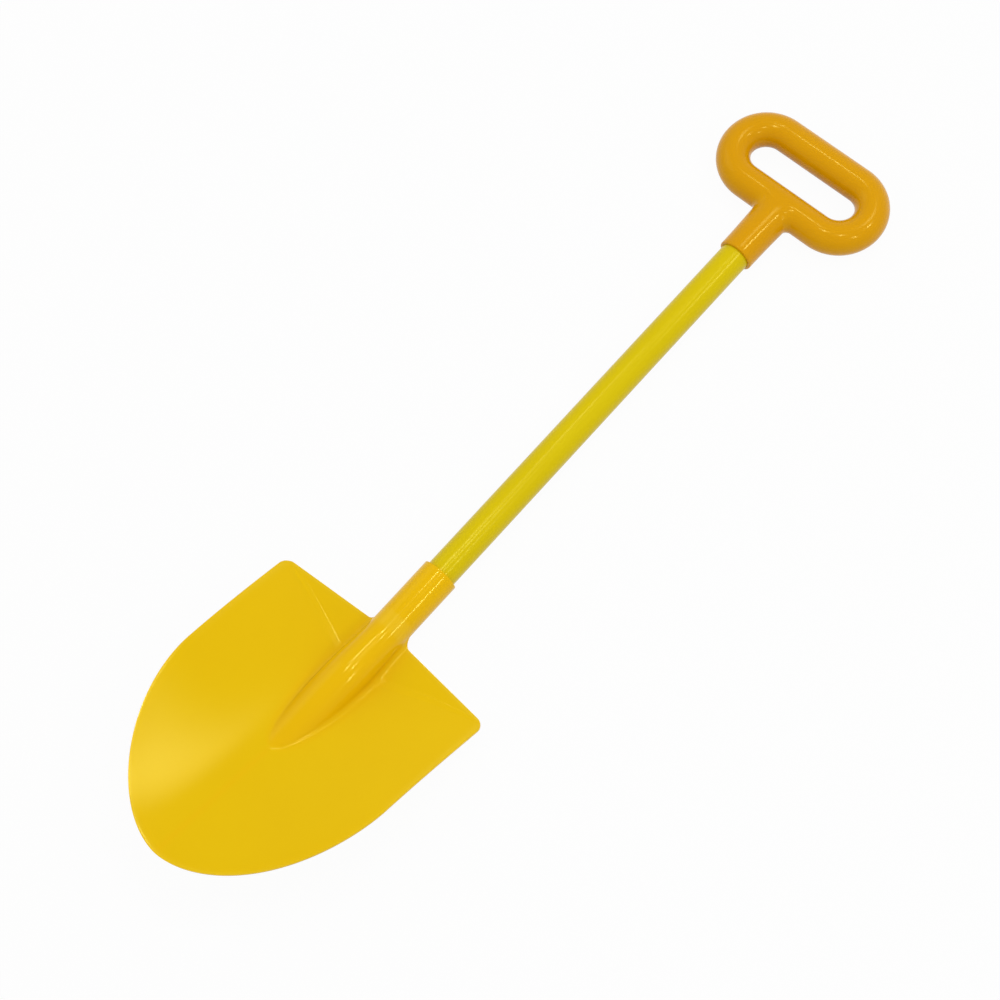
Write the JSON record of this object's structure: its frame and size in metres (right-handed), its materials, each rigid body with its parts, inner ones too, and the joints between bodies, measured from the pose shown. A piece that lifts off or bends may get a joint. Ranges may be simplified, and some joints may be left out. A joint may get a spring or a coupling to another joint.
{
  "type": "children's spade",
  "caption": "Plastic child's digging spade: dished, pointed blade with a moulded socket, straight tube shaft and hollow loop hand grip.",
  "frame": {"origin": "under the middle of the spade as it lies on its back: the bottom centre of its bounding box", "axes": "+Y up the shaft from the blade's tip to the grip, +Z out of the digging face, +X across the blade"},
  "size_m": [0.1784, 0.678, 0.0591],
  "materials": {
    "blade_plastic": "gloss",
    "tube_plastic": "satin",
    "grip_plastic": "gloss"
  },
  "bodies": {
    "root": {"blade": "blade_plastic", "shaft_tube": "tube_plastic", "hand_grip": "grip_plastic"}
  },
  "joints": []
}
